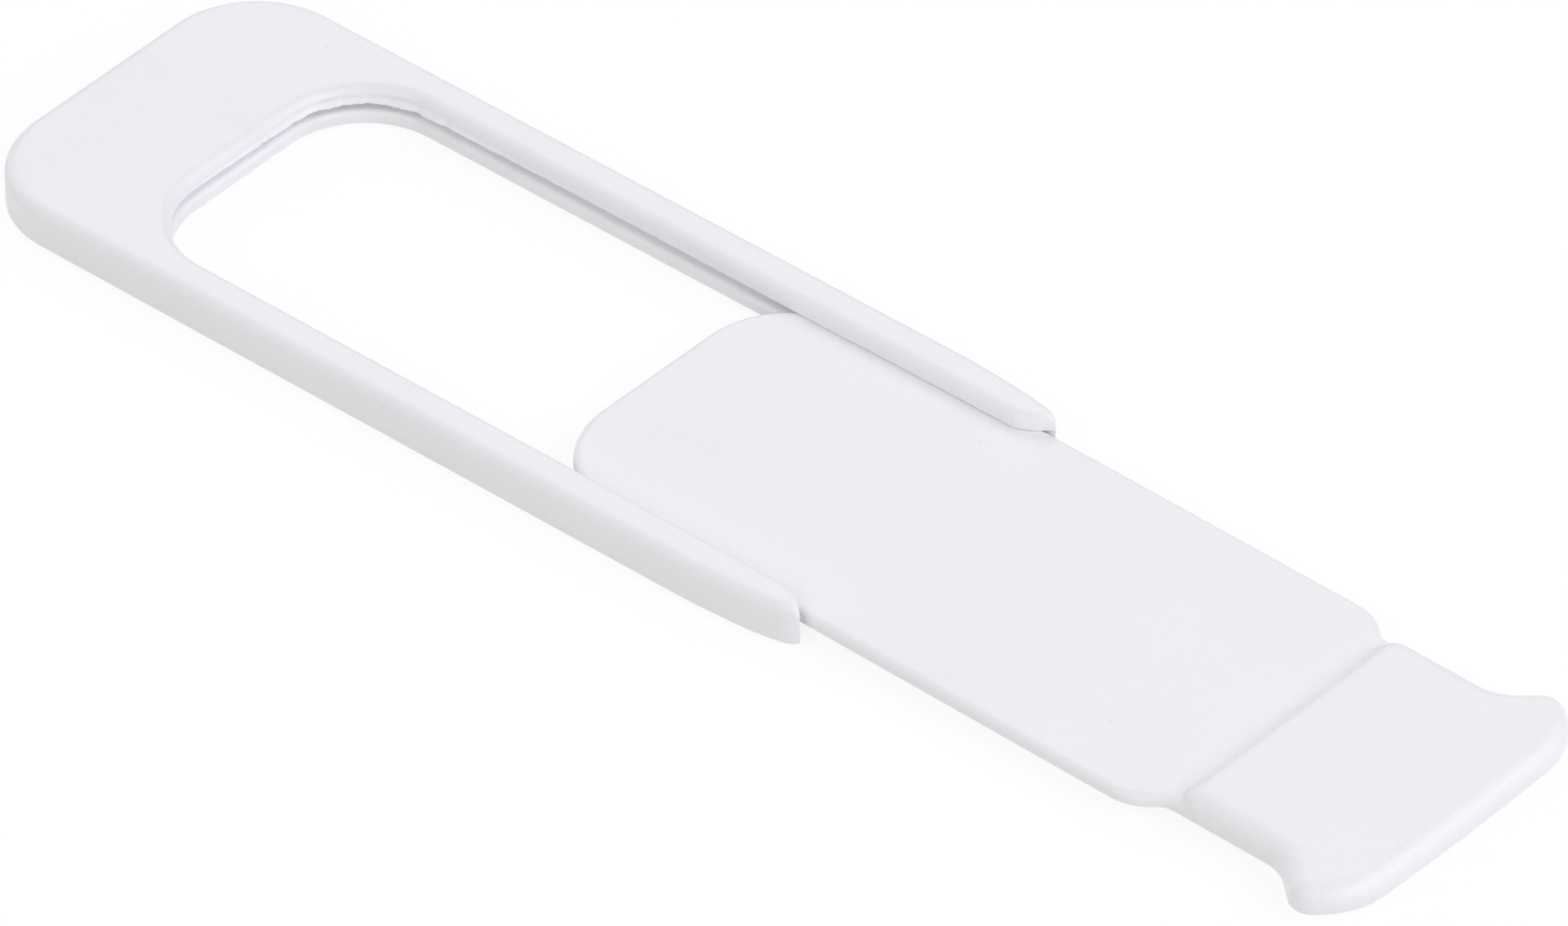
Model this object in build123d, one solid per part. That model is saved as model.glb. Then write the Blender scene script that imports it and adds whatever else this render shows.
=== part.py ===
from build123d import *
from math import atan2, degrees, radians, tan
import os

# Frame: a U-shaped moulding with a closed back end and two open-ended rails (mm)
frame_length = 37.9
frame_width = 15.0
frame_height = 1.55
bar_length = 6.6
rail_width = 1.61
frame_corner = 3.8
window_corner = 3.4
top_edge_radius = 0.45
rail_taper = 0.25
rail_taper_length = 4.0
rail_taper_blend = 24.0
tip_outer_corner = 0.5
tip_inner_corner = 0.6

# Groove round the inside of the U, between a bottom lip and a top lip
bottom_lip = 0.5
groove_wall = 0.52
bottom_lip_round = 0.22
top_lip_round = 0.06
neck_length = 1.6

# Slider plate
plate_thickness = 0.42
plate_edge_radius = 0.3
front_corner = 3.7
shoulder_length = 0.9
shoulder_run_out = 0.02
shoulder_outer_blend = 2.0
shoulder_inner_blend = 0.9

# Raised pull tab at the slider's tail, with a straight waist and a fishtail end
waist_length = 4.65
flare_length = 3.35
flare_reach = 1.48
flare_angle = 41.0
flare_blend = 1.7
fishtail_tip = 0.85
end_corner = 3.1
end_corner_angle = 44.0
end_bow = 0.1
tab_edge_radius = 0.7
tab_rear_corner = 0.8

# Largest shares of a wall that the roundings on it may take
edge_share = 0.9
tip_outer_share = 0.5
tip_inner_share = 0.45

# Adhesive pad on the frame's back
pad_thickness = 0.2
pad_inset = 0.4

# Fits between the slider and the frame
side_play = 0.5
lift_play = 0.03
neck_play = 0.26
tab_play = 0.27
tab_drop = 0.1
closed_cover = 0.6
flare_clear = 1.15

# Resting place of the slider: half open, and turned a little within its side play
window_open = 18.84
skew_centre = 20.5
wall_gap = 0.2

# Frame sizes that follow
half_width = frame_width / 2
window_half = half_width - rail_width
tip_half = half_width - rail_taper
tip_width = tip_half - window_half
back_x = -bar_length / 2
window_x = back_x + bar_length
tip_x = back_x + frame_length
groove_depth = rail_width - groove_wall
neck_x = tip_x - neck_length
groove_height = plate_thickness + lift_play
top_lip = frame_height - bottom_lip - groove_height

# Slider sizes that follow
plate_half = half_width - groove_wall - side_play
neck_depth = plate_half + neck_play - window_half
tab_half = window_half - tab_play
fishtail_half = tab_half + flare_reach
tab_thickness = frame_height - bottom_lip - tab_drop
flare_x = tip_x - window_x + closed_cover + flare_clear
step_x = flare_x - waist_length
shoulder_turn = atan2(plate_half - tab_half, shoulder_length)
shoulder_x = step_x - shoulder_run_out - shoulder_inner_blend * tan(shoulder_turn / 2)
end_x = flare_x + flare_length
skew = degrees(atan2(side_play - wall_gap, skew_centre - front_corner))


def corners_at(plan, x, y):
    tolerance = 1e-4
    return [v for v in plan.vertices() if abs(v.X - x) < tolerance and abs(abs(v.Y) - y) < tolerance]


def top_edges(body):
    return body.faces().sort_by(Axis.Z)[-1].edges()


def window_plan(grow=0.0, open_x=tip_x + rail_width):
    # The window's outline, open towards the rail tips, moved out by grow on its three closed sides
    inner_x = window_x - grow
    half = window_half + grow
    plan = make_face(Polyline((open_x, -half), (inner_x, -half), (inner_x, half), (open_x, half), close=True))
    return fillet(corners_at(plan, inner_x, half), window_corner + grow)


def frame_plan():
    taper_x = tip_x - rail_taper_length
    outline = Polyline(
        (back_x, -half_width),
        (taper_x, -half_width),
        (tip_x, -tip_half),
        (tip_x, tip_half),
        (taper_x, half_width),
        (back_x, half_width),
        close=True,
    )
    plan = make_face(outline)
    plan = fillet(corners_at(plan, back_x, half_width), frame_corner)
    plan = fillet(corners_at(plan, taper_x, half_width), rail_taper_blend)
    plan = plan - window_plan()
    plan = fillet(corners_at(plan, tip_x, tip_half), min(tip_outer_corner, tip_outer_share * tip_width))
    return fillet(corners_at(plan, tip_x, window_half), min(tip_inner_corner, tip_inner_share * tip_width))


def make_hollow():
    # The window with its groove, which narrows to a neck at the tips and has both lips' edges rounded off
    window = extrude(window_plan(), frame_height)
    groove_plan = window_plan(groove_depth, neck_x) + window_plan(neck_depth)
    groove = Pos(Z=bottom_lip) * extrude(groove_plan, groove_height)
    hollow = window + groove
    lower, upper = new_edges(window, groove, combined=hollow).group_by(Axis.Z)
    hollow = hollow.fillet(bottom_lip_round, lower)
    return hollow.fillet(top_lip_round, upper)


def make_frame():
    body = extrude(frame_plan(), frame_height)
    body = fillet(top_edges(body), min(top_edge_radius, edge_share * (top_lip - top_lip_round)))
    return Pos(Z=pad_thickness) * (body - make_hollow())


def slider_plan():
    # Half of the outline from the front edge to the end edge, then its mirror image
    fishtail_x = flare_x + flare_reach / tan(radians(flare_angle))
    end_half = fishtail_half - (end_x - fishtail_x) * tan(radians(end_corner_angle))
    corners = {
        (0, plate_half): front_corner,
        (shoulder_x - shoulder_length, plate_half): shoulder_outer_blend,
        (shoulder_x, tab_half): shoulder_inner_blend,
        (flare_x, tab_half): flare_blend,
        (fishtail_x, fishtail_half): fishtail_tip,
        (end_x, end_half): end_corner,
    }
    side = list(corners)
    mirrored = [(x, -y) for x, y in reversed(side)]
    end_edge = ThreePointArc(side[-1], (end_x + end_bow, 0), mirrored[0])
    plan = make_face([Polyline(*side), end_edge, Polyline(*mirrored), Line(mirrored[-1], side[0])])
    for (x, y), radius in corners.items():
        plan = fillet(corners_at(plan, x, y), radius)
    return plan


def make_slider():
    plan = slider_plan()
    plate = extrude(plan, plate_thickness)
    plate = fillet(top_edges(plate), min(plate_edge_radius, edge_share * plate_thickness))
    tab_plan = split(plan, Plane.YZ.offset(step_x), keep=Keep.TOP)
    tab_plan = fillet(corners_at(tab_plan, step_x, tab_half), tab_rear_corner)
    tab = extrude(tab_plan, tab_thickness)
    tab = fillet(top_edges(tab), min(tab_edge_radius, edge_share * tab_thickness))
    body = plate + tab
    turned = Rot(Z=-skew) * Pos(X=-skew_centre) * body
    return Pos(window_x + window_open + skew_centre, 0, pad_thickness + bottom_lip) * turned


def make_adhesive_pad():
    return extrude(offset(frame_plan(), -pad_inset), pad_thickness)


nodes = {
    "frame": make_frame(),
    "slider": make_slider(),
    "adhesive_pad": make_adhesive_pad(),
}
os.makedirs("parts", exist_ok=True)
for name, solid in nodes.items():
    export_step(solid, f"parts/{name}.step")
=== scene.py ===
import math

import bmesh
import bpy
from mathutils import Matrix, Vector, noise


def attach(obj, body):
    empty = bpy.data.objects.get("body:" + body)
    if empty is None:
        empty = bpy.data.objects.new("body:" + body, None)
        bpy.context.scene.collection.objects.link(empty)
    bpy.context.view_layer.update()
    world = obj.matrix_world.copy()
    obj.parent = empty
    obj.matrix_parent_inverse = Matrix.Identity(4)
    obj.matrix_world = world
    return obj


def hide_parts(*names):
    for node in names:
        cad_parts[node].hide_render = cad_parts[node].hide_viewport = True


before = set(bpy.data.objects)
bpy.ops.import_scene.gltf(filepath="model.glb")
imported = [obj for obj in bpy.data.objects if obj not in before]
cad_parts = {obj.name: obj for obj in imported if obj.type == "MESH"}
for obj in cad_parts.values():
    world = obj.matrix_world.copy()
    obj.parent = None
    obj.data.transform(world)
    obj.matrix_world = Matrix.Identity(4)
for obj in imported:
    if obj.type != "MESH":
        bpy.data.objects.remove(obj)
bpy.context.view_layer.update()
scene = bpy.context.scene
mm = 0.001
white = (1, 1, 1, 1)
print("frame loaded:", sorted(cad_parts))


# small helpers for node trees
def addNode(tree, kind, x, y, inputs=None, **settings):
    made = tree.nodes.new(kind)
    made.location = (x, y)
    for name, value in settings.items():
        setattr(made, name, value)
    for socket, value in (inputs or {}).items():
        made.inputs[socket].default_value = value
    return made


def joinNodes(tree, *pairs):
    for source, target in pairs:
        tree.links.new(source, target)


def mathNode(tree, operation, x, y, first, second):
    made = addNode(tree, "ShaderNodeMath", x, y, operation=operation)
    for socket, value in zip(made.inputs, (first, second)):
        if isinstance(value, (int, float)):
            socket.default_value = value
        else:
            tree.links.new(value, socket)
    return made.outputs[0]


def newGroup(name, inputs, outputs):
    tree = bpy.data.node_groups.new(name, "ShaderNodeTree")
    for label, kind, value in inputs:
        socket = tree.interface.new_socket(label, in_out="INPUT", socket_type=kind)
        socket.default_value = value
    for label, kind in outputs:
        tree.interface.new_socket(label, in_out="OUTPUT", socket_type=kind)
    start = addNode(tree, "NodeGroupInput", -900, 0)
    end = addNode(tree, "NodeGroupOutput", 900, 0)
    return tree, start, end


def newMaterial(name):
    made = bpy.data.materials.new(name)
    made.use_nodes = True
    tree = made.node_tree
    tree.nodes.clear()
    output = addNode(tree, "ShaderNodeOutputMaterial", 900, 0)
    return made, tree, output


def placeGroup(tree, group, x, y, values):
    made = addNode(tree, "ShaderNodeGroup", x, y)
    made.node_tree = group
    for label, value in values.items():
        made.inputs[label].default_value = value
    return made


# shared effect: fine spark-eroded mould texture with soft flow mottling
satinTexture = {
    "mottle": {"Detail": 2.0, "Roughness": 0.5},
    "grain": {"Detail": 3.0, "Roughness": 0.62},
    "pits": {"Randomness": 1.0},
    "pitShare": 0.6,
    "noiseMiddle": 0.5,
}


def buildSatinGrain(texture):
    tree, start, end = newGroup(
        "satinGrain",
        [
            ("Base Color", "NodeSocketColor", (0.86, 0.86, 0.88, 1)),
            ("Mottle", "NodeSocketFloat", 0.01),
            ("Mottle Scale", "NodeSocketFloat", 220.0),
            ("Grain", "NodeSocketFloat", 0.01),
            ("Grain Scale", "NodeSocketFloat", 9000.0),
            ("Roughness", "NodeSocketFloat", 0.45),
            ("Roughness Spread", "NodeSocketFloat", 0.06),
        ],
        [("Color", "NodeSocketColor"), ("Roughness", "NodeSocketFloat"), ("Height", "NodeSocketFloat")],
    )
    coords = addNode(tree, "ShaderNodeTexCoord", -900, -260)
    place = coords.outputs["Object"]
    middle = texture["noiseMiddle"]
    mottle = addNode(tree, "ShaderNodeTexNoise", -620, 220, texture["mottle"])
    grain = addNode(tree, "ShaderNodeTexNoise", -620, -60, texture["grain"])
    pits = addNode(tree, "ShaderNodeTexVoronoi", -620, -340, texture["pits"])
    joinNodes(
        tree,
        (place, mottle.inputs["Vector"]),
        (place, grain.inputs["Vector"]),
        (place, pits.inputs["Vector"]),
        (start.outputs["Mottle Scale"], mottle.inputs["Scale"]),
        (start.outputs["Grain Scale"], grain.inputs["Scale"]),
        (start.outputs["Grain Scale"], pits.inputs["Scale"]),
    )
    mottleSwing = mathNode(tree, "SUBTRACT", -380, 220, mottle.outputs["Fac"], middle)
    grainSwing = mathNode(tree, "SUBTRACT", -380, -60, grain.outputs["Fac"], middle)
    mottlePart = mathNode(tree, "MULTIPLY", -180, 220, mottleSwing, start.outputs["Mottle"])
    grainPart = mathNode(tree, "MULTIPLY", -180, 40, grainSwing, start.outputs["Grain"])
    tone = mathNode(tree, "ADD", 20, 140, mottlePart, grainPart)
    gain = mathNode(tree, "ADD", 200, 140, tone, 1.0)
    shade = addNode(tree, "ShaderNodeVectorMath", 400, 200, operation="SCALE")
    roughPart = mathNode(tree, "MULTIPLY", -180, -140, grainSwing, start.outputs["Roughness Spread"])
    rough = mathNode(tree, "ADD", 20, -140, roughPart, start.outputs["Roughness"])
    pitDepth = mathNode(tree, "MULTIPLY", -180, -340, pits.outputs["Distance"], texture["pitShare"])
    height = mathNode(tree, "ADD", 20, -340, pitDepth, grain.outputs["Fac"])
    joinNodes(
        tree,
        (start.outputs["Base Color"], shade.inputs[0]),
        (gain, shade.inputs["Scale"]),
        (shade.outputs["Vector"], end.inputs["Color"]),
        (rough, end.inputs["Roughness"]),
        (height, end.inputs["Height"]),
    )
    return tree


# shared effect: one tiny dark fleck moulded into the surface
fleckShape = {
    "ragged": {"Scale": 14000.0, "Detail": 2.0},
    "fade": {"From Min": 0.9, "From Max": 1.5, "To Min": 1.0, "To Max": 0.0},
}


def buildFleck(shape):
    tree, start, end = newGroup(
        "mouldedFleck",
        [
            ("Color", "NodeSocketColor", (0.86, 0.86, 0.88, 1)),
            ("Place", "NodeSocketVector", (0.0, 0.0, 0.0)),
            ("Radius", "NodeSocketFloat", 0.0001),
            ("Strength", "NodeSocketFloat", 0.1),
        ],
        [("Color", "NodeSocketColor")],
    )
    coords = addNode(tree, "ShaderNodeTexCoord", -900, -260)
    ragged = addNode(tree, "ShaderNodeTexNoise", -660, -420, shape["ragged"])
    gap = addNode(tree, "ShaderNodeVectorMath", -660, -160, operation="DISTANCE")
    spread = mathNode(tree, "DIVIDE", -440, -160, gap.outputs["Value"], start.outputs["Radius"])
    torn = mathNode(tree, "ADD", -260, -240, spread, ragged.outputs["Fac"])
    mask = addNode(tree, "ShaderNodeMapRange", -60, -200, shape["fade"], interpolation_type="SMOOTHSTEP")
    fade = mathNode(tree, "MULTIPLY", 140, -160, mask.outputs["Result"], start.outputs["Strength"])
    keep = mathNode(tree, "SUBTRACT", 320, -160, 1.0, fade)
    shade = addNode(tree, "ShaderNodeVectorMath", 540, 0, operation="SCALE")
    joinNodes(
        tree,
        (coords.outputs["Object"], gap.inputs[0]),
        (coords.outputs["Object"], ragged.inputs["Vector"]),
        (start.outputs["Place"], gap.inputs[1]),
        (torn, mask.inputs["Value"]),
        (start.outputs["Color"], shade.inputs[0]),
        (keep, shade.inputs["Scale"]),
        (shade.outputs["Vector"], end.inputs["Color"]),
    )
    return tree


satinGrain = buildSatinGrain(satinTexture)
fleckGroup = buildFleck(fleckShape)


def mouldedPlastic(name, finish):
    made, tree, output = newMaterial(name)
    plastic = addNode(
        tree, "ShaderNodeBsdfPrincipled", 600, 0,
        {"IOR": finish["ior"], "Specular IOR Level": finish["specular"]},
    )
    grain = placeGroup(tree, satinGrain, -600, 0, finish["grain"])
    colour = grain.outputs["Color"]
    for index, (place, radius, strength) in enumerate(finish["flecks"]):
        fleck = placeGroup(tree, fleckGroup, -360 + 180 * index, 240, {
            "Place": [c * mm for c in place],
            "Radius": radius * mm,
            "Strength": strength,
        })
        joinNodes(tree, (colour, fleck.inputs["Color"]))
        colour = fleck.outputs["Color"]
    bump = addNode(
        tree, "ShaderNodeBump", 300, -260,
        {"Strength": finish["bumpStrength"], "Distance": finish["bumpDepth"] * mm},
    )
    joinNodes(
        tree,
        (colour, plastic.inputs["Base Color"]),
        (grain.outputs["Roughness"], plastic.inputs["Roughness"]),
        (grain.outputs["Height"], bump.inputs["Height"]),
        (bump.outputs["Normal"], plastic.inputs["Normal"]),
        (plastic.outputs["BSDF"], output.inputs["Surface"]),
    )
    return made


def dressNode(name, material):
    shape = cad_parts[name]
    shape.data.materials.clear()
    shape.data.materials.append(material)


def sweepRings(name, rings, smoothFaces):
    # closed strip through rings of points (mm), smooth on the first faces of each ring
    size = len(rings[0])
    verts = [Vector(point) * mm for ring in rings for point in ring]
    faces = []
    for i in range(len(rings) - 1):
        for j in range(size):
            k = (j + 1) % size
            faces.append((i * size + j, i * size + k, (i + 1) * size + k, (i + 1) * size + j))
    sides = len(faces)
    faces.append(tuple(range(size - 1, -1, -1)))
    faces.append(tuple(range(sides, sides + size)))
    mesh = bpy.data.meshes.new(name)
    mesh.from_pydata(verts, [], faces)
    mesh.validate()
    for face in mesh.polygons:
        face.use_smooth = face.index < sides and face.index % size < smoothFaces
    made = bpy.data.objects.new(name, mesh)
    scene.collection.objects.link(made)
    return made


# U-shaped frame (flecks: place in mm, radius in mm, strength)
frameFinish = {
    "ior": 1.53,
    "specular": 0.5,
    "grain": {
        "Base Color": (0.93, 0.931, 0.946, 1),
        "Mottle": 0.05,
        "Mottle Scale": 260.0,
        "Grain": 0.09,
        "Grain Scale": 7000.0,
        "Roughness": 0.44,
        "Roughness Spread": 0.2,
    },
    "flecks": [((1.884, 5.998, 1.75), 0.11, 0.12), ((12.9, -7.5, 0.7), 0.07, 0.08)],
    "bumpStrength": 0.5,
    "bumpDepth": 0.004,
}
framePlastic = mouldedPlastic("framePlastic", frameFinish)
dressNode("frame", framePlastic)
print("frame dressed")

# rail tips: the lips run out in a lead-in and the outer wall ends in a round nose (mm)
railTips = {
    "tipX": 34.6,
    "inside": 5.89,
    "grooveWall": 6.74,
    "outside": 7.25,
    "lead": {"length": 1.1, "depth": 0.77, "power": 1.6},
    "nose": {"length": 2.3, "depth": 0.27, "power": 2.4},
    "stretch": {"length": 2.3, "depth": 0.2, "power": 2.0},
    "cuts": 24,
    "weld": 0.0001,
}


def runIn(spec, curve, x):
    # how far a curve has come in at x, and how steeply
    along = (x - spec["tipX"] + curve["length"]) / curve["length"]
    if along <= 0:
        return 0.0, 0.0
    reach = curve["depth"] * along ** curve["power"]
    return reach, reach * curve["power"] / (along * curve["length"])


def tipShift(spec, x, y):
    # new distance from the middle line, and its slopes along x and y
    wall = spec["grooveWall"]
    if y < wall:
        reach, slope = runIn(spec, spec["lead"], x)
        depth = wall - spec["inside"]
    else:
        reach, slope = runIn(spec, spec["nose"], x)
        depth = wall - spec["outside"]
    share = (wall - y) / depth
    sign = 1 if depth > 0 else -1
    return y + sign * reach * share, sign * slope * share, 1 - reach / abs(depth)


def roundTips(shape, spec):
    # copy of the frame's mesh, cut across near the tips and moved, with its own normals turned along
    weld = spec["weld"] * mm
    mesh = shape.data.copy()
    mesh.name = "rounded_frame"
    kept = mesh.attributes.new("keptNormal", "FLOAT_VECTOR", "CORNER")
    kept.data.foreach_set("vector", [c for normal in mesh.corner_normals for c in normal.vector])
    work = bmesh.new()
    work.from_mesh(mesh)
    bmesh.ops.remove_doubles(work, verts=work.verts, dist=weld)
    for i in range(spec["cuts"]):
        x = (spec["tipX"] - spec["nose"]["length"] * (i + 0.5) / spec["cuts"]) * mm
        parts = work.verts[:] + work.edges[:] + work.faces[:]
        bmesh.ops.bisect_plane(work, geom=parts, dist=weld, plane_co=(x, 0, 0), plane_no=(1, 0, 0))
    bmesh.ops.triangulate(work, faces=work.faces)
    work.to_mesh(mesh)
    work.free()
    slopes = []
    for point in mesh.vertices:
        x, y = point.co.x / mm, point.co.y / mm
        side = math.copysign(1, y)
        moved, alongX, alongY = tipShift(spec, x, abs(y))
        longer, growth = runIn(spec, spec["stretch"], x)
        if longer > 0:
            point.co.x = (x + longer) * mm
            point.co.y = side * moved * mm
        slopes.append((1 + growth, side * alongX, alongY))
    normals = []
    for corner, normal in zip(mesh.loops, mesh.attributes["keptNormal"].data):
        stretchX, alongX, alongY = slopes[corner.vertex_index]
        nx, ny, nz = normal.vector
        normals.append(Vector(((nx - ny * alongX / alongY) / stretchX, ny / alongY, nz)).normalized())
    mesh.attributes.remove(mesh.attributes["keptNormal"])
    mesh.polygons.foreach_set("use_smooth", [True] * len(mesh.polygons))
    mesh.normals_split_custom_set(normals)
    made = bpy.data.objects.new("rounded_frame", mesh)
    scene.collection.objects.link(made)
    return made


roundedFrame = roundTips(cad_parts["frame"], railTips)
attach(roundedFrame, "frame")
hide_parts("frame")
print("rail tips rounded:", len(roundedFrame.data.polygons), "faces")

# slider: plate and raised pull tab in one moulding
sliderFinish = {
    "ior": 1.53,
    "specular": 0.5,
    "grain": {
        "Base Color": (0.929, 0.931, 0.945, 1),
        "Mottle": 0.045,
        "Mottle Scale": 190.0,
        "Grain": 0.1,
        "Grain Scale": 6500.0,
        "Roughness": 0.46,
        "Roughness Spread": 0.22,
    },
    "flecks": [
        ((46.16, -3.938, 1.12), 0.075, 0.1),
        ((48.435, 2.438, 1.12), 0.07, 0.08),
        ((33.2, 4.654, 1.12), 0.1, 0.07),
    ],
    "bumpStrength": 0.55,
    "bumpDepth": 0.004,
}
sliderPlastic = mouldedPlastic("sliderPlastic", sliderFinish)
dressNode("slider", sliderPlastic)
print("slider dressed")

# soft ramp where the raised tab meets the plate (mm, the foot counts from the slider's turning point)
# its normals lean less than its surface, for a soft line
stepFillet = {
    "turnPoint": (42.64, 0.0, 0.0),
    "turn": -1.023,
    "footX": 7.921,
    "footHalf": 4.82,
    "corner": 0.779,
    "cornerTurn": 40.0,
    "cornerPieces": 8,
    "plateZ": 1.12,
    "front": 0.8,
    "bend": 0.506,
    "top": (-0.355, 0.449),
    "lean": 27.6,
    "leanPower": 3.0,
    "sink": 0.004,
    "hidden": [(-0.43, 0.35), (-0.3, -0.05), (0.78, -0.05)],
    "pieces": 10,
    "step": 0.12,
    "fade": 12,
    "smallest": 0.05,
}


def footPath(spec):
    # points and front-facing normals along the tab's rear foot, from the near corner to the far one
    footX, footHalf, radius = spec["footX"], spec["footHalf"], spec["corner"]
    half = []
    for i in range(spec["cornerPieces"], 0, -1):
        turn = math.radians(spec["cornerTurn"]) * i / spec["cornerPieces"]
        x = footX + radius * (1 - math.cos(turn))
        y = -footHalf - radius * math.sin(turn)
        half.append((x, y, -math.cos(turn), -math.sin(turn)))
    straightCount = int(footHalf / spec["step"])
    for i in range(straightCount, 0, -1):
        half.append((footX, -footHalf * i / straightCount, -1.0, 0.0))
    otherHalf = [(x, -y, nx, -ny) for x, y, nx, ny in reversed(half)]
    return half + [(footX, 0.0, -1.0, 0.0)] + otherHalf


def filletProfile(spec):
    # curve from the plate up to the tab's rounding, as distance ahead, height and lean of the normal
    topAhead, topUp = spec["top"]
    points = []
    for i in range(spec["pieces"] + 1):
        t = i / spec["pieces"]
        ahead = (1 - t) ** 2 * spec["front"] + 2 * t * (1 - t) * spec["bend"] + t ** 2 * topAhead
        up = t ** 2 * topUp - spec["sink"] * (1 - t)
        points.append((ahead, up, spec["lean"] * t ** spec["leanPower"]))
    return points + [(ahead, up, spec["lean"]) for ahead, up in spec["hidden"]]


def buildStepFillet(spec):
    path = footPath(spec)
    profile = filletProfile(spec)
    turn = Matrix.Rotation(math.radians(spec["turn"]), 3, "Z")
    rings = []
    normals = []
    for i, (x, y, nx, ny) in enumerate(path):
        size = min(1.0, i / spec["fade"], (len(path) - 1 - i) / spec["fade"])
        size = max(spec["smallest"], size)
        ring = []
        for ahead, up, lean in profile:
            point = Vector((x + nx * ahead * size, y + ny * ahead * size, spec["plateZ"] + up * size))
            ring.append(turn @ point + Vector(spec["turnPoint"]))
            side, rise = math.sin(math.radians(lean)), math.cos(math.radians(lean))
            normals.append(turn @ Vector((nx * side, ny * side, rise)))
        rings.append(ring)
    made = sweepRings("step_fillet", rings, len(profile))
    made.data.normals_split_custom_set_from_vertices(normals)
    made.data.materials.append(sliderPlastic)
    return made


fillet = buildStepFillet(stepFillet)
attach(fillet, "slider")
print("step fillet made:", len(fillet.data.polygons), "faces")

# adhesive foam pad under the frame
padFinish = {
    "light": (0.80, 0.80, 0.775, 1),
    "dark": (0.66, 0.66, 0.635, 1),
    "lightFrom": 0.55,
    "cellScale": 5200.0,
    "cellsPerCloud": 12,
    "cloudDetail": 4.0,
    "ior": 1.45,
    "roughness": (0.55, 0.85),
    "bumpStrength": 0.6,
    "bumpDepth": 0.02,
}


def foamMaterial(finish):
    made, tree, output = newMaterial("padFoam")
    foam = addNode(tree, "ShaderNodeBsdfPrincipled", 600, 0, {"IOR": finish["ior"]})
    coords = addNode(tree, "ShaderNodeTexCoord", -900, 0)
    cells = addNode(tree, "ShaderNodeTexVoronoi", -640, 160, {"Scale": finish["cellScale"]})
    cloud = addNode(
        tree, "ShaderNodeTexNoise", -640, -160,
        {"Scale": finish["cellScale"] / finish["cellsPerCloud"], "Detail": finish["cloudDetail"]},
    )
    blend = mathNode(tree, "MULTIPLY", -380, 60, cells.outputs["Distance"], cloud.outputs["Fac"])
    tone = addNode(tree, "ShaderNodeValToRGB", -160, 200)
    tone.color_ramp.elements[0].color = finish["dark"]
    tone.color_ramp.elements[1].color = finish["light"]
    tone.color_ramp.elements[1].position = finish["lightFrom"]
    low, high = finish["roughness"]
    rough = addNode(tree, "ShaderNodeMapRange", -160, -60, {"To Min": high, "To Max": low})
    bump = addNode(
        tree, "ShaderNodeBump", 300, -260,
        {"Strength": finish["bumpStrength"], "Distance": finish["bumpDepth"] * mm},
    )
    joinNodes(
        tree,
        (coords.outputs["Object"], cells.inputs["Vector"]),
        (coords.outputs["Object"], cloud.inputs["Vector"]),
        (blend, tone.inputs["Fac"]),
        (blend, rough.inputs["Value"]),
        (blend, bump.inputs["Height"]),
        (tone.outputs["Color"], foam.inputs["Base Color"]),
        (rough.outputs["Result"], foam.inputs["Roughness"]),
        (bump.outputs["Normal"], foam.inputs["Normal"]),
        (foam.outputs["BSDF"], output.inputs["Surface"]),
    )
    return made


dressNode("adhesive_pad", foamMaterial(padFinish))
print("pad dressed")

# wavy bead of moulding flash along the lower edge of the frame's top lip (mm)
# upper holds shares of the bead's reach and top, lower a share of its reach and a height
lipFlash = {
    "windowX": 3.3,
    "windowHalf": 5.89,
    "corner": 3.4,
    "railEnd": 27.0,
    "lipZ": 1.17,
    "root": 0.12,
    "rise": 0.04,
    "slope": 1.4,
    "highest": 0.26,
    "thin": 0.025,
    "thick": 0.2,
    "spread": 5.0,
    "swing": 0.5,
    "waves": 1.5,
    "waveForm": (0.6, 2.1, 4),
    "rootSlope": 1.1,
    "upper": [(0.4, 0.55), (0.85, 0.22)],
    "lower": [(1.0, 0.025), (0.8, 0.004)],
    "rootGap": 0.002,
    "smoothFaces": 4,
    "smallest": 0.004,
    "fade": 12,
    "step": 0.09,
}


def windowPath(spec):
    # points and normals into the window along its edge, from the near rail round to the far rail
    points = []
    x0, half, radius, step = spec["windowX"], spec["windowHalf"], spec["corner"], spec["step"]
    railCount = int((spec["railEnd"] - x0 - radius) / step)
    for i in range(railCount):
        points.append((spec["railEnd"] - i * step, -half, 0.0, 1.0))
    arcCount = int(radius * math.pi / 2 / step)
    for i in range(arcCount):
        turn = math.pi / 2 * i / arcCount
        points.append((
            x0 + radius - radius * math.sin(turn), -half + radius - radius * math.cos(turn),
            math.sin(turn), math.cos(turn),
        ))
    endCount = int(2 * (half - radius) / step)
    for i in range(endCount):
        points.append((x0, -half + radius + i * step, 1.0, 0.0))
    for i in range(arcCount):
        turn = math.pi / 2 * i / arcCount
        points.append((
            x0 + radius - radius * math.cos(turn), half - radius + radius * math.sin(turn),
            math.cos(turn), -math.sin(turn),
        ))
    for i in range(railCount + 1):
        points.append((x0 + radius + i * step, half, 0.0, -1.0))
    return points


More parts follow.
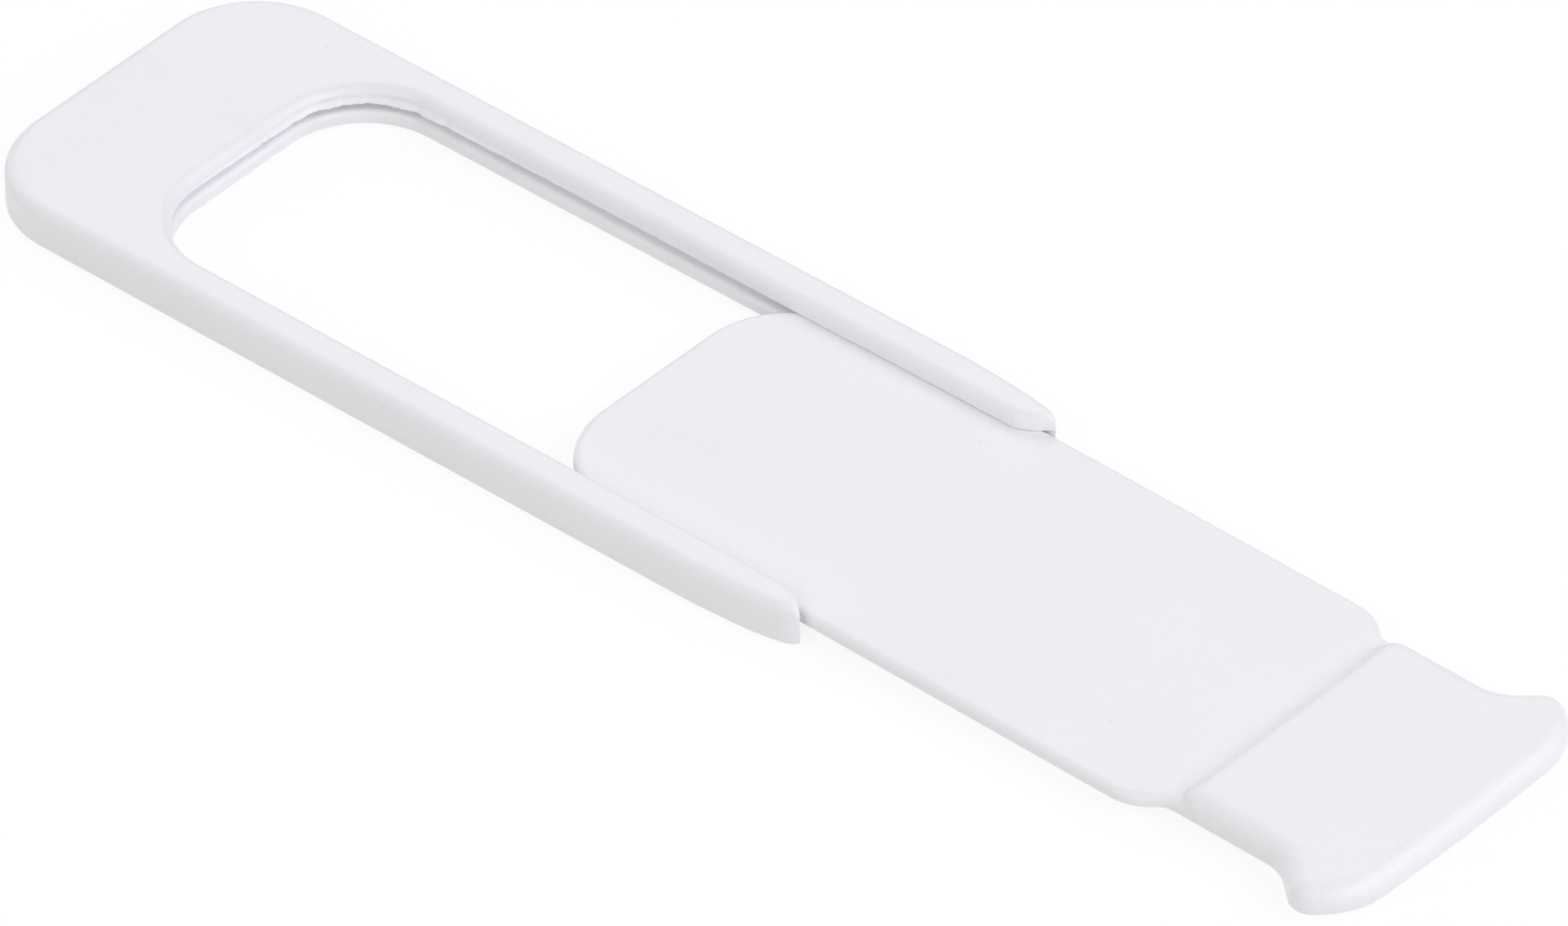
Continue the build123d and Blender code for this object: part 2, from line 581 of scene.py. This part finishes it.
def buildLipFlash(spec):
    path = windowPath(spec)
    inset = spec["corner"] * (1 - math.sqrt(0.5))
    # the flash is thickest at the far corner of the window
    farCorner = Vector((spec["windowX"] + inset, spec["windowHalf"] - inset))
    rings = []
    for i, (x, y, nx, ny) in enumerate(path):
        wave = noise.fractal(Vector((x, y, 0.0)) * spec["waves"], *spec["waveForm"])
        away = (Vector((x, y)) - farCorner).length / spec["spread"]
        reach = spec["thin"] + (spec["thick"] - spec["thin"]) * math.exp(-away * away)
        ends = min(1.0, i / spec["fade"], (len(path) - 1 - i) / spec["fade"])
        reach = max(spec["smallest"], reach * (1 + spec["swing"] * wave) * ends)
        top = min(spec["rise"] + spec["slope"] * reach, spec["highest"])
        outline = [(-spec["root"], top + spec["rootSlope"] * spec["root"])]
        outline += [(reach * out, top * up) for out, up in spec["upper"]]
        outline += [(reach * out, up) for out, up in spec["lower"]]
        outline.append((-spec["root"], spec["rootGap"]))
        rings.append([(x + nx * out, y + ny * out, spec["lipZ"] + up) for out, up in outline])
    made = sweepRings("lip_flash", rings, spec["smoothFaces"])
    made.data.materials.append(framePlastic)
    return made


flash = buildLipFlash(lipFlash)
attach(flash, "frame")
print("lip flash made:", len(flash.data.polygons), "faces")

# pale floor a hair under the pad, white to the camera and shaded by the object (metres)
floorLook = {
    "size": 3.0,
    "albedo": (0.93, 0.93, 0.93, 1),
    "glow": 0.87,
    "shadowShare": 0.16,
    "drop": 0.00002,
}


def cameraRays(tree, x, y):
    light = addNode(tree, "ShaderNodeLightPath", x, y)
    direct, glossy = light.outputs["Is Camera Ray"], light.outputs["Is Glossy Ray"]
    seen = mathNode(tree, "MAXIMUM", x + 200, y, direct, glossy)
    return mathNode(tree, "MAXIMUM", x + 380, y, seen, light.outputs["Is Transmission Ray"])


def buildFloor(look):
    half = look["size"] / 2
    mesh = bpy.data.meshes.new("floor")
    corners = [(-half, -half, 0), (half, -half, 0), (half, half, 0), (-half, half, 0)]
    mesh.from_pydata(corners, [], [(0, 1, 2, 3)])
    made = bpy.data.objects.new("floor", mesh)
    made.location.z = -look["drop"]
    scene.collection.objects.link(made)
    material, tree, output = newMaterial("studioFloor")
    matte = addNode(tree, "ShaderNodeBsdfDiffuse", 0, 200, {"Color": look["albedo"]})
    faint = addNode(tree, "ShaderNodeBsdfDiffuse", 0, 0, {"Color": [look["shadowShare"]] * 3 + [1]})
    glow = addNode(tree, "ShaderNodeEmission", 0, -200, {"Color": white, "Strength": look["glow"]})
    seen = addNode(tree, "ShaderNodeAddShader", 240, -100)
    pick = addNode(tree, "ShaderNodeMixShader", 480, 0)
    joinNodes(
        tree,
        (cameraRays(tree, -600, 400), pick.inputs["Fac"]),
        (faint.outputs["BSDF"], seen.inputs[0]),
        (glow.outputs["Emission"], seen.inputs[1]),
        (matte.outputs["BSDF"], pick.inputs[1]),
        (seen.outputs["Shader"], pick.inputs[2]),
        (pick.outputs["Shader"], output.inputs["Surface"]),
    )
    mesh.materials.append(material)
    return made


buildFloor(floorLook)
print("floor staged")

# soft studio light: a dim white room and broad panels (places and sizes in metres, power in watts)
roomLight = {"color": (0.96, 0.97, 1.0, 1), "strength": 0.203, "seen": 1.0}
sideLight, backLight, warmLight = (0.94, 0.95, 1.0), (0.95, 0.955, 1.0), (1.0, 0.985, 0.945)
panels = {
    "rightPanel": {"place": (0.4, 0.0, 0.3), "size": 0.3, "power": 0.83, "color": sideLight},
    "leftPanel": {"place": (-0.42, 0.0, 0.2), "size": 0.3, "power": 0.545, "color": sideLight},
    "backRightPanel": {"place": (0.36, 0.32, 0.26), "size": 0.42, "power": 0.81, "color": backLight},
    "backLeftPanel": {"place": (-0.25, 0.3, 0.32), "size": 0.25, "power": 0.43, "color": backLight},
    "frontPanel": {"place": (0.03, -0.36, 0.3), "size": 0.3, "power": 0.675, "color": warmLight},
}
aimPoint = Vector((0.027, 0.0, 0.0))


def buildRoom(look):
    world = bpy.data.worlds.new("studioRoom")
    scene.world = world
    world.use_nodes = True
    tree = world.node_tree
    tree.nodes.clear()
    output = addNode(tree, "ShaderNodeOutputWorld", 600, 0)
    dimLook = {"Color": look["color"], "Strength": look["strength"]}
    dim = addNode(tree, "ShaderNodeBackground", 100, 100, dimLook)
    seen = addNode(tree, "ShaderNodeBackground", 100, -100, {"Color": white, "Strength": look["seen"]})
    pick = addNode(tree, "ShaderNodeMixShader", 380, 0)
    joinNodes(
        tree,
        (cameraRays(tree, -500, 300), pick.inputs["Fac"]),
        (dim.outputs["Background"], pick.inputs[1]),
        (seen.outputs["Background"], pick.inputs[2]),
        (pick.outputs["Shader"], output.inputs["Surface"]),
    )


def buildPanel(name, look):
    lamp = bpy.data.lights.new(name, "AREA")
    lamp.shape = "SQUARE"
    lamp.size = look["size"]
    lamp.energy = look["power"]
    lamp.color = look["color"]
    made = bpy.data.objects.new(name, lamp)
    made.location = look["place"]
    made.rotation_mode = "QUATERNION"
    made.rotation_quaternion = (aimPoint - Vector(look["place"])).to_track_quat("-Z", "Y")
    scene.collection.objects.link(made)


buildRoom(roomLight)
for panelName, panelLook in panels.items():
    buildPanel(panelName, panelLook)
print("light set:", len(panels), "panels")

# camera: angles in degrees, aim in metres, aimPixel where the aim falls in the picture
cameraLook = {
    "azimuth": 40.809,
    "elevation": 39.162,
    "roll": 0.242,
    "aim": (0.0157, 0.0, 0.0012),
    "aimPixel": (648.0, 379.2),
    "picture": (2000, 1181),
    "pixelsPerMetre": 36764.0,
    "sensor": 36.0,
    "lens": 360.0,
    "clip": (0.01, 20.0),
}


def buildCamera(look):
    turn, rise, roll = (math.radians(look[k]) for k in ("azimuth", "elevation", "roll"))
    ahead = -Vector((math.sin(turn) * math.cos(rise), -math.cos(turn) * math.cos(rise), math.sin(rise)))
    across = ahead.cross(Vector((0, 0, 1))).normalized()
    down = ahead.cross(across)
    right = math.cos(roll) * across + math.sin(roll) * down
    below = -math.sin(roll) * across + math.cos(roll) * down
    width, height = look["picture"]
    scale = look["pixelsPerMetre"]
    offX = (look["aimPixel"][0] - width / 2) / scale
    offY = (look["aimPixel"][1] - height / 2) / scale
    depth = look["lens"] / look["sensor"] * width / scale
    data = bpy.data.cameras.new("camera")
    data.sensor_width = look["sensor"]
    data.lens = look["lens"]
    data.clip_start, data.clip_end = look["clip"]
    made = bpy.data.objects.new("camera", data)
    axes = Matrix((right, -below, -ahead)).transposed().to_4x4()
    axes.translation = Vector(look["aim"]) - right * offX - below * offY - ahead * depth
    made.matrix_world = axes
    scene.collection.objects.link(made)
    scene.camera = made


buildCamera(cameraLook)
scene.view_settings.view_transform = "Standard"
scene.cycles.max_bounces = 12
scene.cycles.diffuse_bounces = 10
print("camera set")
